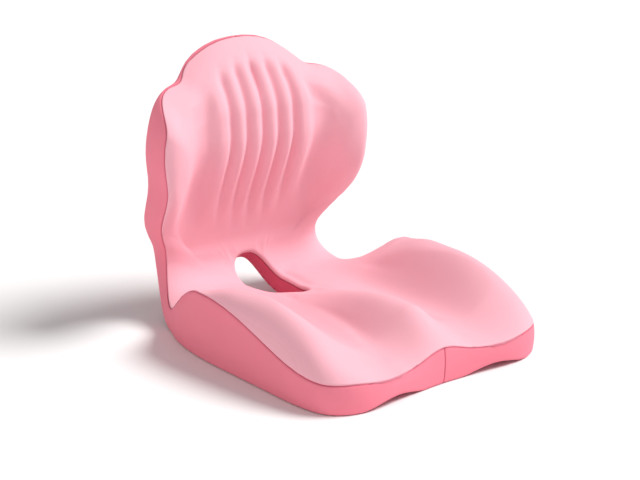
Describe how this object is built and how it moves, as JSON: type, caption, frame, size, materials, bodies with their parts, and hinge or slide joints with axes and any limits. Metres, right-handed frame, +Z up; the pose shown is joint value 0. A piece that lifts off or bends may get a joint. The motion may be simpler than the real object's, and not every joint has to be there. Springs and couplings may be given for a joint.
{
  "type": "seat cushion",
  "caption": "L-shaped foam seat and back cushion with side wings, ribbed lumbar face, tailbone opening and a zipped cloth cover.",
  "frame": {"origin": "on the floor under the middle of the cushion's bounding box", "axes": "+Z up, -Y towards the front edge of the seat, +Y towards the rear face of the back, X across"},
  "size_m": [0.488, 0.5988, 0.493],
  "materials": {
    "face_cloth": "light pink fine knit, soft matt with a slight sheen",
    "band_cloth": "rose pink woven cloth, matt",
    "opening_cloth": "deep rose knit, matt",
    "underside_cloth": "dusty rose anti-slip cloth, matt",
    "liner": "thin white knitted liner",
    "foam": "moulded slow-recovery foam, matt skin",
    "zip_tape": "woven tape",
    "zip_coil": "nylon coil",
    "zip_metal": "satin nickel"
  },
  "bodies": {
    "seat": {"seat_foam_core": "foam", "seat_foam_liner": "liner", "seat_face_panel": "face_cloth", "seat_side_band_left": "band_cloth", "seat_side_band_right": "band_cloth", "tailbone_opening_band": "opening_cloth", "seat_underside_panel": "underside_cloth"},
    "back": {"back_foam_core": "foam", "back_foam_liner": "liner", "back_face_panel": "face_cloth", "back_side_band_left": "band_cloth", "back_side_band_right": "band_cloth", "back_rear_panel": "underside_cloth", "zip_tape_upper": "zip_tape", "zip_tape_lower": "zip_tape", "zip_coil": "zip_coil", "zip_top_stop": "zip_metal", "zip_bottom_stop": "zip_metal"},
    "zip_slider": {"zip_slider": "zip_metal"},
    "zip_pull": {"zip_pull": "zip_metal"}
  },
  "joints": [
    {"name": "back_flex", "type": "hinge", "parent": "seat", "child": "back", "pos_m": [0, 0.2691, 0.11439], "axis": [1, 0, 0], "range_deg": [-15, 25], "stiffness_Nm_per_rad": 20},
    {"name": "zip_slide", "type": "slide", "parent": "back", "child": "zip_slider", "axis": [-1, 0, 0], "range_m": [0, 0.249]},
    {"name": "zip_pull_swing", "type": "hinge", "parent": "zip_slider", "child": "zip_pull", "pos_m": [0.12465, 0.29718, 0.16], "axis": [0, 0, -1], "range_deg": [0, 150]}
  ]
}
